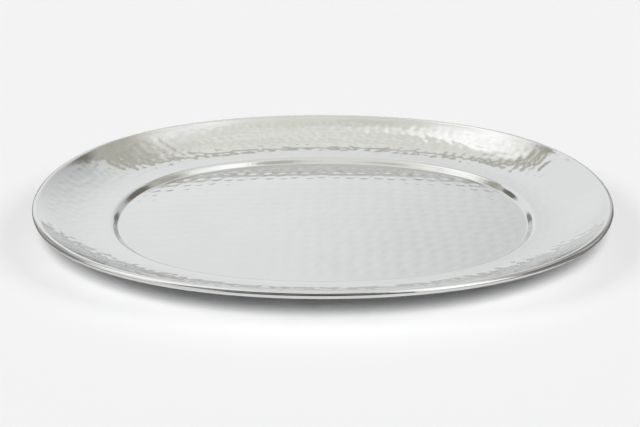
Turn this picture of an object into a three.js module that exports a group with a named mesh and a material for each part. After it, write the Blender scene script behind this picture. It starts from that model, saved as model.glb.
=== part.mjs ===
// Oval serving tray pressed from one sheet of stainless steel.
// A flat well, a short step, a wide dished rim and an edge rolled under round a wire.
// Millimetres, +Z up. The origin is under the middle of the well, on the surface that the tray
// stands on, and the long axis lies along X.

import * as THREE from "three";

// Overall size over the rolled edge
const trayLength = 457;
const trayWidth = 356;
const ovalFullness = 0.028; // how far the oval swells past an ellipse between its axes

// Sheet, edge wire and the roll that holds it
const sheetThickness = 0.9;
const wireDiameter = 2.6;
const wireClearance = 0.3; // all round the wire, inside the roll
const wireEndGap = 0.6; // where the two ends of the wire meet
const rawEdgeGap = 0.3; // from the rolled-in raw edge to the underside of the rim

// Section across the tray, along the middle of the sheet's thickness
const stepRise = 4.3;
const stepSlope = THREE.MathUtils.degToRad(42);
const stepFootRadius = 2.2;
const stepTopRadius = 6;
const rimWidth = 54; // in plan, from the top of the step to the middle of the roll
const rimInnerSlope = THREE.MathUtils.degToRad(5.5);
const rimOuterSlope = THREE.MathUtils.degToRad(39.3);

// Facets
const ovalSteps = 72;
const stepFootSteps = 2;
const stepTopSteps = 3;
const rimSteps = 6;
const rollTopSteps = 2; // from the rim to the top of the roll
const rollSideSteps = 4; // on to its outermost line
const rollUnderSteps = 6; // and round to the raw edge
const wireSides = 8;

// The roll wraps the wire as closely as its clearance lets it
const rollInnerRadius = wireDiameter / 2 + wireClearance;
const rollRadius = rollInnerRadius + sheetThickness;
const rollMiddleRadius = rollInnerRadius + sheetThickness / 2;
const rollTurn = 2 * Math.PI - Math.acos((rollInnerRadius - rawEdgeGap) / rollRadius);

// The oval that the wire follows
const wireHalfLength = trayLength / 2 - rollRadius;
const wireHalfWidth = trayWidth / 2 - rollRadius;

// The step's sloping flank and its width in plan, from its rise and its two bends
const footRise = stepFootRadius * (1 - Math.cos(stepSlope));
const topRise = stepTopRadius * (Math.cos(rimInnerSlope) - Math.cos(stepSlope));
const flankLength = (stepRise - footRise - topRise) / Math.sin(stepSlope);
const footRun = stepFootRadius * Math.sin(stepSlope);
const topRun = stepTopRadius * (Math.sin(stepSlope) - Math.sin(rimInnerSlope));
const stepRun = footRun + flankLength * Math.cos(stepSlope) + topRun;

// The rim is one arc from the step to where the roll begins
const rimRun = rimWidth - rollMiddleRadius * Math.sin(rimOuterSlope);
const rimRadius = rimRun / (Math.sin(rimOuterSlope) - Math.sin(rimInnerSlope));
const rimRise = rimRadius * (Math.cos(rimInnerSlope) - Math.cos(rimOuterSlope));

const wellMiddleHeight = sheetThickness / 2;
const rollStartHeight = wellMiddleHeight + stepRise + rimRise;
const wireHeight = rollStartHeight - rollMiddleRadius * Math.cos(rimOuterSlope);
const wellHalfWidth = wireHalfWidth - rimWidth - stepRun;

// A point of the wire's oval, moved outward square to it
function ovalPoint(angle, outward) {
  const cosine = Math.cos(angle);
  const sine = Math.sin(angle);
  const swell = 1 + ovalFullness * Math.sin(2 * angle) ** 2;
  const swellRate = 2 * ovalFullness * Math.sin(4 * angle);
  const alongX = wireHalfLength * (cosine * swellRate - sine * swell);
  const alongY = wireHalfWidth * (sine * swellRate + cosine * swell);
  const square = new THREE.Vector2(alongY, -alongX).normalize();
  const point = new THREE.Vector2(wireHalfLength * cosine, wireHalfWidth * sine);
  return point.multiplyScalar(swell).addScaledVector(square, outward);
}

// A walk along the middle of the sheet, which leaves a point on each of its faces.
// A positive turn lifts the sheet and a negative one bends it down.
class SheetSection {
  constructor(startHeight) {
    this.place = new THREE.Vector2(0, startHeight);
    this.heading = 0;
    this.upperFace = [];
    this.lowerFace = [];
    this.markFaces();
  }

  markFaces() {
    const up = new THREE.Vector2(-Math.sin(this.heading), Math.cos(this.heading));
    this.upperFace.push(this.place.clone().addScaledVector(up, sheetThickness / 2));
    this.lowerFace.push(this.place.clone().addScaledVector(up, -sheetThickness / 2));
  }

  advance(length) {
    this.place.x += length * Math.cos(this.heading);
    this.place.y += length * Math.sin(this.heading);
  }

  straight(length) {
    this.advance(length);
    this.markFaces();
  }

  bend(turn, radius, steps) {
    const halfTurn = turn / steps / 2;
    const chord = 2 * radius * Math.sin(Math.abs(halfTurn));
    for (let step = 0; step < steps; step += 1) {
      this.heading += halfTurn;
      this.advance(chord);
      this.heading += halfTurn;
      this.markFaces();
    }
  }

  outline() {
    return [...this.lowerFace, ...this.upperFace.reverse()];
  }
}

// The section as it is cut across the middle of the long side
function traySection() {
  const section = new SheetSection(wellMiddleHeight);
  section.straight(wellHalfWidth);
  section.bend(stepSlope, stepFootRadius, stepFootSteps);
  section.straight(flankLength);
  section.bend(rimInnerSlope - stepSlope, stepTopRadius, stepTopSteps);
  section.bend(rimOuterSlope - rimInnerSlope, rimRadius, rimSteps);
  section.bend(-rimOuterSlope, rollMiddleRadius, rollTopSteps);
  section.bend(-Math.PI / 2, rollMiddleRadius, rollSideSteps);
  section.bend(rimOuterSlope + Math.PI / 2 - rollTurn, rollMiddleRadius, rollUnderSteps);
  return section.outline();
}

// Moves a turned form onto the oval: the well is stretched from its middle, and everything
// outside the well keeps its distance from the wire, so the rim is as wide all the way round
function stretchToOval(turned) {
  const place = turned.getAttribute("position");
  for (let i = 0; i < place.count; i += 1) {
    const radius = Math.hypot(place.getX(i), place.getZ(i));
    const angle = Math.atan2(place.getX(i), place.getZ(i));
    const share = Math.min(radius / wellHalfWidth, 1);
    const outward = Math.max(radius, wellHalfWidth) - wireHalfWidth;
    const point = ovalPoint(angle, outward).multiplyScalar(share);
    place.setXYZ(i, point.x, point.y, place.getY(i));
  }
  turned.computeVertexNormals();
  return turned;
}

// The wire's line, from one end round to the other, with the meeting ends at the back
class WireLine extends THREE.Curve {
  getPoint(share) {
    const halfGapAngle = wireEndGap / 2 / wireHalfLength;
    const angle = THREE.MathUtils.lerp(halfGapAngle, 2 * Math.PI - halfGapAngle, share);
    const point = ovalPoint(Math.PI / 2 + angle, 0);
    return new THREE.Vector3(point.x, point.y, 0);
  }
}

function wireSection() {
  const section = new THREE.Shape();
  for (let side = 0; side < wireSides; side += 1) {
    const angle = (2 * Math.PI * side) / wireSides;
    const x = (wireDiameter / 2) * Math.cos(angle);
    const y = (wireDiameter / 2) * Math.sin(angle);
    if (side === 0) {
      section.moveTo(x, y);
    } else {
      section.lineTo(x, y);
    }
  }
  section.closePath();
  return section;
}

const polishedSteel = new THREE.MeshStandardMaterial({
  color: 0xc8c6c1,
  roughness: 0.12,
  metalness: 1,
});
const drawnSteelWire = new THREE.MeshStandardMaterial({
  color: 0x8e8c88,
  roughness: 0.45,
  metalness: 1,
});

// The pressed sheet: well, step, rim and roll in one piece
function makeTraySheet() {
  const form = stretchToOval(new THREE.LatheGeometry(traySection(), ovalSteps));
  const sheet = new THREE.Mesh(form, polishedSteel);
  sheet.name = "tray_sheet";
  return sheet;
}

// The wire inside the roll
function makeRimWire() {
  const form = new THREE.ExtrudeGeometry(wireSection(), {
    steps: ovalSteps,
    extrudePath: new WireLine(),
  });
  const wire = new THREE.Mesh(form, drawnSteelWire);
  wire.name = "rim_wire";
  wire.position.z = wireHeight;
  return wire;
}

const tray = new THREE.Group();
tray.name = "serving_tray";
tray.add(makeTraySheet());
tray.add(makeRimWire());

export default tray;
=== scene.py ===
import math

import bpy
import numpy as np
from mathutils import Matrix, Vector


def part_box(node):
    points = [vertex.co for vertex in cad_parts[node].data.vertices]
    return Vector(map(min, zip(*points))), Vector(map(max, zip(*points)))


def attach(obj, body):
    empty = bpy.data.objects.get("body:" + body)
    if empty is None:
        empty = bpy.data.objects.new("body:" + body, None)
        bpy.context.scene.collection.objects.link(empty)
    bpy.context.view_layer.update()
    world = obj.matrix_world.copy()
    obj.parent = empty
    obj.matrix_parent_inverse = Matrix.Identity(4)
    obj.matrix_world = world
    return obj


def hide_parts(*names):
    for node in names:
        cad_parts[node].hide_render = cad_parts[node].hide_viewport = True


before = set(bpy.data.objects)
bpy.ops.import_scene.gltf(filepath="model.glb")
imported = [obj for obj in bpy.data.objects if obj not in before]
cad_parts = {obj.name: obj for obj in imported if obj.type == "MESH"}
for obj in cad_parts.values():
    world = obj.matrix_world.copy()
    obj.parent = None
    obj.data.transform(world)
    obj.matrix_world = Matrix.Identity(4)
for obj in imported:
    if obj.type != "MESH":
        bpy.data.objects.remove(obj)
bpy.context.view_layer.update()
print("frame loaded", sorted(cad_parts))

# the wire's own box gives the line that the rolled edge follows
sheetLow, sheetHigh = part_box("tray_sheet")
wireLow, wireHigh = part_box("rim_wire")
wireRadius = (wireHigh.z - wireLow.z) / 2
wireHeight = (wireHigh.z + wireLow.z) / 2
wireHalfLength = wireHigh.x - wireRadius
wireHalfWidth = wireHigh.y - wireRadius
rollRadius = sheetHigh.z - wireHeight

# camera, lengths in metres
photoView = {
    "width": 640,  # pixels
    "height": 427,
    "focal": 999.2,  # pixels
    "sensorWidth": 36.0,  # millimetres
    "distance": 0.814,
    "elevation": 24.37,  # degrees
    "aimHeight": 0.0052,
    "aimPixel": (322.85, 210.93),
}


def makeCamera(view):
    data = bpy.data.cameras.new("photoCamera")
    camera = bpy.data.objects.new("photoCamera", data)
    bpy.context.scene.collection.objects.link(camera)
    data.sensor_width = view["sensorWidth"]
    data.lens = data.sensor_width * view["focal"] / view["width"]
    data.shift_x = (view["width"] / 2 - view["aimPixel"][0]) / view["width"]
    data.shift_y = (view["aimPixel"][1] - view["height"] / 2) / view["width"]
    tilt = math.radians(view["elevation"])
    back = Vector((0.0, -math.cos(tilt), math.sin(tilt)))
    camera.location = Vector((0.0, 0.0, view["aimHeight"])) + back * view["distance"]
    camera.rotation_mode = "QUATERNION"
    camera.rotation_quaternion = (-back).to_track_quat("-Z", "Y")
    bpy.context.scene.camera = camera


makeCamera(photoView)
print("camera made")

# hammer marks: the well's stand apart, and the rim's overlap before they reach their full depth
# pitch runs from mark to mark along a row, and wander is how far a mark strays, as a share of it
hammer = {
    "rowShift": 0.3,  # how unevenly the rows are set against each other, as a share of the pitch
    "ridgeRound": 0.000008,
    "seed": 7,
    "neighbours": (-2, -1, 0, 1, 2),  # rows and marks that may reach a point
    "triedPoints": 60000,  # these give the middle height of the marks
    "triedFrom": 0.2,  # where they lie across the rows, clear of the first and last
    "triedSpan": 0.6,
    "well": {
        "pitch": 0.012,
        "spacing": 0.0103,
        "faceRadius": 0.051,  # how round the hammer's face is
        "depth": 0.00019,
        "depthSpread": 0.00003,
        "stagger": 0.0,
        "wander": 0.13,
    },
    "rim": {
        "pitch": 0.0083,
        "spacing": 0.0071,
        "faceRadius": 0.068,
        "depth": 0.0004,
        "depthSpread": 0.00005,
        "stagger": 0.5,
        "wander": 0.23,
    },
    "wellSpan": 0.48,  # side of the square that the well's rows fill
    "rimReach": 1.2,  # how far out the rim's rows go, as a share of its width
}


class StruckRows:
    # rows of round dents, where each row closes on itself after its own length

    def __init__(self, marks, lengths):
        self.spacing = marks["spacing"]
        self.faceRadius = marks["faceRadius"]
        self.depth = marks["depth"]
        self.lengths = np.asarray(lengths)
        self.counts = np.round(self.lengths / marks["pitch"]).astype(int)
        rows, most = len(self.lengths), self.counts.max()
        dice = np.random.default_rng(hammer["seed"])
        uneven = hammer["rowShift"] * dice.uniform(-0.5, 0.5, rows)
        shift = marks["stagger"] * (np.arange(rows) % 2) + uneven
        stray = dice.uniform(-1, 1, (2, rows, most)) * marks["wander"]
        self.along = shift[:, None] + stray[0]  # counted in marks
        self.across = (np.arange(rows)[:, None] + 0.5) * self.spacing + stray[1] * marks["pitch"]
        self.lift = dice.uniform(-1, 1, (rows, most)) * marks["depthSpread"]
        tries = dice.uniform(0, 1, (2, hammer["triedPoints"]))
        triedAcross = (hammer["triedFrom"] + hammer["triedSpan"] * tries[1]) * rows * self.spacing
        self.middle = self.lowest(tries[0], triedAcross).mean()

    def lowest(self, share, across):
        # the lowest of the dents that reach each point, with slightly rounded ridges
        row = np.floor(across / self.spacing).astype(int)
        soft = hammer["ridgeRound"]
        total = np.full_like(share, math.exp(-self.depth / soft))  # the plain surface
        for rowStep in hammer["neighbours"]:
            line = np.clip(row + rowStep, 0, len(self.lengths) - 1)
            place = share * self.counts[line]
            column = np.floor(place).astype(int)
            for columnStep in hammer["neighbours"]:
                cell = column + columnStep
                mark = cell % self.counts[line]
                gap = (place - cell - self.along[line, mark]) * self.lengths[line] / self.counts[line]
                reach = gap ** 2 + (across - self.across[line, mark]) ** 2
                dent = reach / (2 * self.faceRadius) + self.lift[line, mark]
                total += np.exp(-dent / soft)
        return -soft * np.log(total)


# the pressed sheet, slopes in degrees
sheet = {
    "thickness": 0.0009,
    "fullness": 0.028,  # how far the oval swells past an ellipse
    "stepRise": 0.0043,
    "stepSlope": 42.0,
    "footRadius": 0.0022,
    "topRadius": 0.006,
    "rimWidth": 0.054,
    "rimInnerSlope": 5.5,
    "rimOuterSlope": 39.3,
    "rawEdgeGap": 0.0003,
    "smoothInside": 0.002,  # plain strip of the well beside the step
    "smoothStep": 0.003,  # plain strip of the rim beside the step
    "smoothRoll": 0.002,  # plain strip of the rim beside the roll
    "fade": 0.004,
    "crownSlope": 0.086,  # rise over run of the well beside its edge
    "crownNear": 0.032,  # how far in from the edge the slope keeps
    "crownFar": 0.072,  # and where the well is level
    "wellColumns": 200,
    "wellRows": 152,
    "footRows": 4,
    "flankRows": 2,
    "topRows": 6,
    "rimRows": 40,
    "rollRows": 14,
    "underCoarse": 2,  # how many times fewer rows the underside gets
    "measuredSteps": 4001,  # for the length of the way round
}


def ovalLine(angle):
    cosine, sine = np.cos(angle), np.sin(angle)
    swell = 1 + sheet["fullness"] * np.sin(2 * angle) ** 2
    swellRate = 2 * sheet["fullness"] * np.sin(4 * angle)
    alongX = wireHalfLength * (cosine * swellRate - sine * swell)
    alongY = wireHalfWidth * (sine * swellRate + cosine * swell)
    length = np.hypot(alongX, alongY)
    point = np.stack([wireHalfLength * cosine * swell, wireHalfWidth * sine * swell], 1)
    square = np.stack([alongY / length, -alongX / length], 1)
    return point, square


def ovalShare():
    # how much of the way round the wire's line has been walked at each angle
    angle = np.linspace(0, 2 * math.pi, sheet["measuredSteps"])
    line, _ = ovalLine(angle)
    walked = np.concatenate([[0], np.cumsum(np.hypot(*np.diff(line, axis=0).T))])
    return angle, walked / walked[-1], walked[-1]


def ease(value):
    value = np.clip(value, 0, 1)
    return value * value * (3 - 2 * value)


class SheetWalk:
    # walks the middle of the sheet's thickness from the well's edge to the raw edge

    def __init__(self, place, height):
        self.place = place
        self.height = height
        self.heading = 0.0
        self.walked = 0.0
        self.stations = []

    def mark(self):
        self.stations.append((self.place, self.height, self.heading, self.walked))

    def straight(self, length, rows):
        for _ in range(rows):
            self.place += length / rows * math.cos(self.heading)
            self.height += length / rows * math.sin(self.heading)
            self.walked += length / rows
            self.mark()

    def bend(self, turn, radius, rows):
        half = turn / rows / 2
        chord = 2 * radius * math.sin(abs(half))
        for _ in range(rows):
            self.heading += half
            self.place += chord * math.cos(self.heading)
            self.height += chord * math.sin(self.heading)
            self.heading += half
            self.walked += chord
            self.mark()


def walkSection(coarse):
    steep = math.radians(sheet["stepSlope"])
    low = math.radians(sheet["rimInnerSlope"])
    high = math.radians(sheet["rimOuterSlope"])
    foot, top = sheet["footRadius"], sheet["topRadius"]
    footRise = foot * (1 - math.cos(steep))
    topRise = top * (math.cos(low) - math.cos(steep))
    flank = (sheet["stepRise"] - footRise - topRise) / math.sin(steep)
    topRun = top * (math.sin(steep) - math.sin(low))
    stepRun = foot * math.sin(steep) + flank * math.cos(steep) + topRun
    rollMiddle = rollRadius - sheet["thickness"] / 2
    rollInner = rollRadius - sheet["thickness"]
    rimRun = sheet["rimWidth"] - rollMiddle * math.sin(high)
    rimRadius = rimRun / (math.sin(high) - math.sin(low))
    rollTurn = 2 * math.pi - math.acos((rollInner - sheet["rawEdgeGap"]) / rollRadius)
    walk = SheetWalk(-sheet["rimWidth"] - stepRun, sheet["thickness"] / 2)
    walk.mark()
    walk.bend(steep, foot, sheet["footRows"] // coarse)
    walk.straight(flank, sheet["flankRows"] // coarse)
    walk.bend(low - steep, top, sheet["topRows"] // coarse)
    walk.walked = 0.0  # the rim's rows are counted from the top of the step
    walk.bend(high - low, rimRadius, sheet["rimRows"] // coarse)
    walk.bend(-rollTurn, rollMiddle, sheet["rollRows"])  # as fine inside the roll as outside
    return walk.stations


def borderOf(grid):
    # the outermost values of a rectangular grid, in turning order
    return np.concatenate([grid[0, :-1], grid[:-1, -1], grid[-1, :0:-1], grid[:0:-1, 0]])


class SheetMesh:
    def __init__(self):
        self.points = []
        self.faces = []
        self.count = 0

    def add(self, points):
        first = self.count
        self.points.append(points)
        self.count += len(points)
        return first + np.arange(len(points))

    def grid(self, index, upward):
        low, right = index[:-1, :-1].ravel(), index[:-1, 1:].ravel()
        far, left = index[1:, 1:].ravel(), index[1:, :-1].ravel()
        around = [low, right, far, left] if upward else [low, left, far, right]
        self.faces.append(np.stack(around, 1))

    def join(self, first, second):
        # a band of faces from one ring of points to the next, which may have half as many
        after = np.roll(second, -1)
        if len(first) == len(second):
            self.faces.append(np.stack([first, second, after, np.roll(first, -1)], 1))
            return
        even, odd, nextEven = first[0::2], first[1::2], np.roll(first, -2)[0::2]
        self.faces.append(np.stack([even, second, odd], 1))
        self.faces.append(np.stack([odd, second, after], 1))
        self.faces.append(np.stack([odd, after, nextEven], 1))


def wellGrid(columns, rows):
    # a square grid rounded off onto a disc: share of the way out, and angle
    u, v = np.meshgrid(np.linspace(-1, 1, columns + 1), np.linspace(-1, 1, rows + 1))
    x, y = u * np.sqrt(1 - v * v / 2), v * np.sqrt(1 - u * u / 2)
    return np.hypot(x, y), np.arctan2(y, x)


def facePoints(flat, square, height, heading, face, dent):
    # face is 1 for the upper face and -1 for the lower one
    rise = face * sheet["thickness"] / 2 + dent
    xy = flat - square * (math.sin(heading) * rise)[:, None]
    return np.column_stack([xy, height + math.cos(heading) * rise])


def makeSheet():
    wholeAngle, wholeShare, wireLength = ovalShare()
    span, rimWidth = hammer["wellSpan"], sheet["rimWidth"]
    wellMarks = StruckRows(hammer["well"], [span] * round(span / hammer["well"]["spacing"]))
    ringPlaces = np.arange(0, hammer["rimReach"] * rimWidth, hammer["rim"]["spacing"])
    rimMarks = StruckRows(hammer["rim"], wireLength + 2 * math.pi * (ringPlaces - rimWidth))
    upperStations = walkSection(1)
    lowerStations = walkSection(sheet["underCoarse"])
    edgePlace, edgeHeight = upperStations[0][:2]
    built = SheetMesh()

    def addWell(coarse, face):
        share, angle = wellGrid(sheet["wellColumns"] // coarse, sheet["wellRows"] // coarse)
        line, square = ovalLine(angle.ravel())
        edge = line + square * edgePlace
        flat = edge * share.reshape(-1, 1)
        reach = np.hypot(edge[:, 0], edge[:, 1])
        inset = (1 - share.ravel()) * reach
        dent = wellMarks.lowest(flat[:, 0] / span + 0.5, flat[:, 1] + span / 2) - wellMarks.middle
        dent *= ease((inset - sheet["smoothInside"]) / sheet["fade"])
        near, easing = sheet["crownNear"], sheet["crownFar"] - sheet["crownNear"]
        gentle = inset * ((wireHalfWidth + edgePlace) / reach) ** 2  # the ends slope less than the sides
        inward = np.clip((gentle - near) / easing, 0, 1)
        dent += sheet["crownSlope"] * (np.minimum(gentle, near) + easing * (inward - inward ** 2 / 2))
        index = built.add(facePoints(flat, square, edgeHeight, 0.0, face, dent)).reshape(share.shape)
        built.grid(index, face > 0)
        return borderOf(index), borderOf(angle)

    def addRing(station, angle, face):
        place, height, heading, walked = station
        line, square = ovalLine(angle)
        fromStep = place + rimWidth
        dent = np.zeros_like(angle)
        if fromStep > 0 and heading > 0:
            share = np.interp(angle % (2 * math.pi), wholeAngle, wholeShare)
            dent += rimMarks.lowest(share, np.full_like(share, walked)) - rimMarks.middle
            dent *= ease((fromStep - sheet["smoothStep"]) / sheet["fade"])
            dent *= ease((-place - rollRadius - sheet["smoothRoll"]) / sheet["fade"])
        return built.add(facePoints(line + square * place, square, height, heading, face, dent))

    # upper face from the middle out, round the roll, and back underneath
    ring, angle = addWell(1, 1)
    for station in upperStations[1:]:
        nextRing = addRing(station, angle, 1)
        built.join(ring, nextRing)
        ring = nextRing
    underBorder, underAngle = addWell(sheet["underCoarse"], -1)
    for station in lowerStations[:0:-1]:
        nextRing = addRing(station, underAngle, -1)
        built.join(ring, nextRing)
        ring = nextRing
    built.join(ring, underBorder)

    points = np.concatenate(built.points).tolist()
    faces = [face for block in built.faces for face in block.tolist()]
    mesh = bpy.data.meshes.new("hammeredSheet")
    mesh.from_pydata(points, [], faces)
    mesh.polygons.foreach_set("use_smooth", np.ones(len(mesh.polygons), bool))
    mesh.update()
    piece = bpy.data.objects.new("hammeredSheet", mesh)
    bpy.context.scene.collection.objects.link(piece)
    return piece


hammeredSheet = makeSheet()
print("sheet made", len(hammeredSheet.data.polygons), "faces")

# finishes


class Nodes:
    # short words for adding nodes to a tree

    def __init__(self, tree):
        self.tree = tree
        self.tree.nodes.clear()

    def add(self, kind, **settings):
        node = self.tree.nodes.new(kind)
        for name, value in settings.items():
            setattr(node, name, value)
        return node

    def link(self, source, target):
        self.tree.links.new(source, target)

    def feed(self, value, socket):
        if isinstance(value, bpy.types.NodeSocket):
            self.link(value, socket)
        else:
            socket.default_value = value

    def math(self, operation, *values):
        node = self.add("ShaderNodeMath", operation=operation)
        for socket, value in zip(node.inputs, values):
            self.feed(value, socket)
        return node.outputs[0]

    def mapped(self, value, source, target=(0.0, 1.0), kind="SMOOTHSTEP"):
        node = self.add("ShaderNodeMapRange", interpolation_type=kind)
        self.feed(value, node.inputs["Value"])
        node.inputs["From Min"].default_value, node.inputs["From Max"].default_value = source
        node.inputs["To Min"].default_value, node.inputs["To Max"].default_value = target
        return node.outputs[0]

    def mix(self, share, first, second, blend="MIX"):
        node = self.add("ShaderNodeMix", data_type="RGBA", blend_type=blend)
        self.feed(share, node.inputs["Factor"])
        self.feed(first, node.inputs[6])  # colour A
        self.feed(second, node.inputs[7])  # colour B
        return node.outputs[2]

    def noise(self, place, scale, detail):
        node = self.add("ShaderNodeTexNoise")
        self.link(place, node.inputs["Vector"])
        node.inputs["Scale"].default_value = scale
        node.inputs["Detail"].default_value = detail
        return node.outputs["Fac"]


def startMaterial(name, shaderKind):
    material = bpy.data.materials.new(name)
    material.use_nodes = True
    n = Nodes(material.node_tree)
    output = n.add("ShaderNodeOutputMaterial")
    shader = n.add(shaderKind)
    n.link(shader.outputs[0], output.inputs["Surface"])
    return material, n, shader


polish = {
    "colour": (0.66, 0.667, 0.663, 1.0),
    "dullColour": (0.646, 0.652, 0.647, 1.0),
    "dullRange": (0.35, 0.7),  # of the smudges
    "roughRange": (0.3, 0.7),  # of the smudges
    "roughness": (0.05, 0.1),
    "smudgeScale": 22.0,
    "smudgeDetail": 5.0,
    "dimpleScale": 300.0,
    "dimpleDetail": 2.0,
    "dimpleLift": 0.00005,
}


def makePolish(values):
    material, n, shader = startMaterial("polishedSteel", "ShaderNodeBsdfPrincipled")
    shader.inputs["Metallic"].default_value = 1.0
    place = n.add("ShaderNodeTexCoord").outputs["Object"]
    smudge = n.noise(place, values["smudgeScale"], values["smudgeDetail"])
    dull = n.mapped(smudge, values["dullRange"])
    n.link(n.mix(dull, values["colour"], values["dullColour"]), shader.inputs["Base Color"])
    rough = n.mapped(smudge, values["roughRange"], values["roughness"], "LINEAR")
    n.link(rough, shader.inputs["Roughness"])
    bump = n.add("ShaderNodeBump")
    bump.inputs["Distance"].default_value = values["dimpleLift"]
    n.link(n.noise(place, values["dimpleScale"], values["dimpleDetail"]), bump.inputs["Height"])
    n.link(bump.outputs[0], shader.inputs["Normal"])
    return material


wireFinish = {
    "colour": (0.42, 0.41, 0.4, 1.0),
    "darkColour": (0.33, 0.32, 0.31, 1.0),
    "roughness": 0.45,
    "grainScale": 300.0,
    "grainDetail": 2.0,
}


def makeWireFinish(values):
    material, n, shader = startMaterial("drawnWire", "ShaderNodeBsdfPrincipled")
    shader.inputs["Metallic"].default_value = 1.0
    shader.inputs["Roughness"].default_value = values["roughness"]
    place = n.add("ShaderNodeTexCoord").outputs["Object"]
    grain = n.noise(place, values["grainScale"], values["grainDetail"])
    n.link(n.mix(grain, values["colour"], values["darkColour"]), shader.inputs["Base Color"])
    return material


hammeredSheet.data.materials.append(makePolish(polish))
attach(hammeredSheet, "root")
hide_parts("tray_sheet")

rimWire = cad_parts["rim_wire"]
rimWire.data.materials.clear()
rimWire.data.materials.append(makeWireFinish(wireFinish))
print("finishes set")


def makeFlat(name, corners, colour):
    mesh = bpy.data.meshes.new(name)
    mesh.from_pydata(corners, [], [(0, 1, 2, 3)])
    material, _, shader = startMaterial(name, "ShaderNodeBsdfDiffuse")
    shader.inputs["Color"].default_value = colour
    mesh.materials.append(material)
    flat = bpy.data.objects.new(name, mesh)
    bpy.context.scene.collection.objects.link(flat)
    return flat


floorLook = {
    "halfSize": 6.0,
    "colour": (0.9, 0.9, 0.905, 1.0),
}


def makeFloor(values):
    half = values["halfSize"]
    corners = [(-half, -half, 0), (half, -half, 0), (half, half, 0), (-half, half, 0)]
    floor = makeFlat("floor", corners, values["colour"])


makeFloor(floorLook)
print("floor made")

# the room that the steel shows, in layers, the last on top
# panels: azimuth from the back towards the right and elevation, half sizes, soft edges, colour
room = {
    "ceiling": (1.105, 1.095, 1.05, 1.0),
    "mottle": (0.86, 0.86, 0.84, 1.0),  # uneven tint of all that is overhead
    "mottleScale": 7.5,
    "mottleDetail": 3.0,
    "mottleRange": (0.4, 0.62),
    "overhead": (47, 53),  # elevations between which the tint sets in
    "fill": (0.896, 0.896, 0.898, 1.0),  # what the camera sees past the floor
    "floorShare": 0.02,  # how much of the room's light reaches the floor
    "panels": {
        "zenith": ((180, 90), (180, 7), (4, 4), (0.96, 0.96, 0.88)),
        "rightWallTop": ((84, 53), (36, 8), (6, 6), (0.59, 0.57, 0.51)),
        "rightBeam": ((38, 52), (24, 10), (8, 8), (0.645, 0.635, 0.565)),
        "leftWall": ((-68, 12), (28, 28), (7, 7), (0.56, 0.55, 0.52)),
        "leftCorner": ((-84, 7), (12, 12), (5, 5), (0.28, 0.27, 0.26)),
        "leftBeam": ((-38, 46.5), (30, 5.5), (5, 5), (0.48, 0.47, 0.4)),
        "backBeam": ((0, 49.5), (18, 3), (2, 2), (0.64, 0.64, 0.58)),
        "frontLeft": ((-148, 44), (18, 26), (8, 8), (0.27, 0.26, 0.25)),
        "frontRoom": ((-177, 28), (25, 43), (5, 5), (0.12, 0.115, 0.11)),
        "frontWindow": ((-177, 26), (24, 11), (10, 9), (0.76, 0.76, 0.75)),
        "leftSkylight": ((-54, 67), (30, 9), (8, 8), (1.52, 1.52, 1.51)),
        "leftLamp": ((-100, 54), (22, 13), (6, 6), (1.52, 1.52, 1.52)),
        "rightSkylight": ((66, 73), (30, 4.5), (5, 5), (1.23, 1.23, 1.21)),
        "rightLamp": ((134, 38), (16, 27), (5, 5), (1.62, 1.62, 1.62)),
        "rightScreen": ((136, 1), (17, 7), (6, 4), (0.6, 0.6, 0.59)),
        "rightLampTop": ((116, 68), (24, 9), (5, 5), (1.5, 1.5, 1.5)),
        "frontTop": ((152, 74), (13, 4), (4, 4), (0.66, 0.66, 0.61)),
        "backdrop": ((-6, 0), (38, 47.2), (1.5, 1.5), (1.065, 1.07, 1.075)),
        "backdropShade": ((38, 19), (22, 26), (24, 3), (0.64, 0.645, 0.65)),
        "backdropLow": ((0, 0), (26, 12), (6, 6), (0.98, 0.985, 0.99)),
        "rightWall": ((78, 18), (42, 28), (6, 6), (0.6, 0.59, 0.56)),
        "rightCabinet": ((47, 34), (12, 11), (5, 5), (0.225, 0.206, 0.174)),
        "rightCorner": ((99, 15), (18, 21), (6, 6), (0.22, 0.21, 0.2)),
        "rightSkirting": ((50, 2), (13, 9), (4, 4), (0.12, 0.115, 0.11)),
        "leftPost": ((-46.5, 32), (8, 7), (2.5, 2.5), (0.22, 0.21, 0.17)),
        "leftLow": ((-22, 9.5), (7, 5.5), (2, 2), (0.32, 0.32, 0.31)),
        "rightLow": ((23, 10), (7, 5.5), (2, 2), (0.24, 0.24, 0.24)),
    },
}


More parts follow.
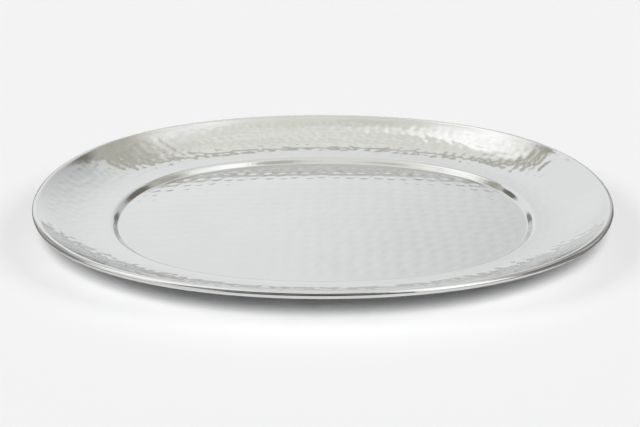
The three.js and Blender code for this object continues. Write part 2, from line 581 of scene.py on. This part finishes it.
def makeRoom(values):
    world = bpy.data.worlds.new("studioRoom")
    bpy.context.scene.world = world
    world.use_nodes = True
    n = Nodes(world.node_tree)
    output = n.add("ShaderNodeOutputWorld")
    outward = n.add("ShaderNodeTexCoord").outputs["Generated"]
    parts = n.add("ShaderNodeSeparateXYZ")
    n.link(outward, parts.inputs[0])
    x, y, z = parts.outputs
    degrees = 180 / math.pi
    azimuth = n.math("MULTIPLY", n.math("ARCTAN2", x, y), degrees)
    elevation = n.math("MULTIPLY", n.math("ARCSINE", z), degrees)
    colour = values["ceiling"]
    for at, half, edge, tint in values["panels"].values():
        side = n.math("ABSOLUTE", n.math("SUBTRACT", azimuth, at[0]))
        side = n.math("MINIMUM", side, n.math("SUBTRACT", 360.0, side))
        up = n.math("ABSOLUTE", n.math("SUBTRACT", elevation, at[1]))
        sideShare = n.mapped(side, (half[0] + edge[0], half[0] - edge[0]))
        upShare = n.mapped(up, (half[1] + edge[1], half[1] - edge[1]))
        colour = n.mix(n.math("MULTIPLY", sideShare, upShare), colour, (*tint, 1.0))
    uneven = n.mapped(n.noise(outward, values["mottleScale"], values["mottleDetail"]), values["mottleRange"])
    mottle = n.math("MULTIPLY", uneven, n.mapped(elevation, values["overhead"]))
    colour = n.mix(mottle, colour, values["mottle"], "MULTIPLY")
    rays = n.add("ShaderNodeLightPath")
    light = n.add("ShaderNodeBackground")
    n.link(n.mix(rays.outputs["Is Camera Ray"], colour, values["fill"]), light.inputs["Color"])
    fromFloor = n.math("MINIMUM", rays.outputs["Diffuse Depth"], 1.0)
    lessened = n.math("MULTIPLY", fromFloor, 1 - values["floorShare"])
    n.link(n.math("SUBTRACT", 1.0, lessened), light.inputs["Strength"])
    n.link(light.outputs[0], output.inputs["Surface"])


makeRoom(room)
print("room made", len(room["panels"]), "panels")

# azimuth and elevation as for the room
lamps = {
    "spread": 24.0,  # degrees
    "front": {"at": (180, 46), "strength": 3.05},
    "left": {"at": (-100, 35), "strength": 0.73},
    "right": {"at": (100, 35), "strength": 0.73},
}


def makeLamp(name, values):
    data = bpy.data.lights.new(name, "SUN")
    data.angle = math.radians(lamps["spread"])
    data.energy = values["strength"]
    lamp = bpy.data.objects.new(name, data)
    bpy.context.scene.collection.objects.link(lamp)
    azimuth, elevation = (math.radians(angle) for angle in values["at"])
    level = math.cos(elevation)
    toward = Vector((math.sin(azimuth) * level, math.cos(azimuth) * level, math.sin(elevation)))
    lamp.location = toward
    lamp.rotation_mode = "QUATERNION"
    lamp.rotation_quaternion = (-toward).to_track_quat("-Z", "Y")
    lamp.visible_glossy = False  # the room already shows it in the steel


for lampName in ("front", "left", "right"):
    makeLamp(lampName, lamps[lampName])
print("lamps made")

# dark boards that only the steel shows: two lie on the floor at the ends, and one hangs in front
boards = {
    "colour": (0.26, 0.255, 0.25, 1.0),
    "height": 0.0004,  # of the two on the floor
    "depth": 0.6,
    "far": 0.9,
    "leftNear": 0.222,
    "rightNear": 0.196,
    "frontPlace": 0.2,  # from the tray's middle
    "frontSpan": (-0.077, 0.072),
    "frontHeights": (0.026, 0.0405),
}


def lyingBoard(near, far):
    deep, height = boards["depth"], boards["height"]
    return [(near, -deep, height), (far, -deep, height), (far, deep, height), (near, deep, height)]


def hangingBoard(place, span, heights):
    (left, right), (low, high) = span, heights
    return [(left, -place, low), (right, -place, low), (right, -place, high), (left, -place, high)]


def makeBoard(name, corners):
    board = makeFlat(name, corners, boards["colour"])
    board.visible_camera = board.visible_diffuse = board.visible_shadow = False


makeBoard("leftBoard", lyingBoard(-boards["leftNear"], -boards["far"]))
makeBoard("rightBoard", lyingBoard(boards["rightNear"], boards["far"]))
makeBoard("frontBoard", hangingBoard(boards["frontPlace"], boards["frontSpan"], boards["frontHeights"]))
bpy.context.scene.view_settings.view_transform = "Standard"
print("boards made")
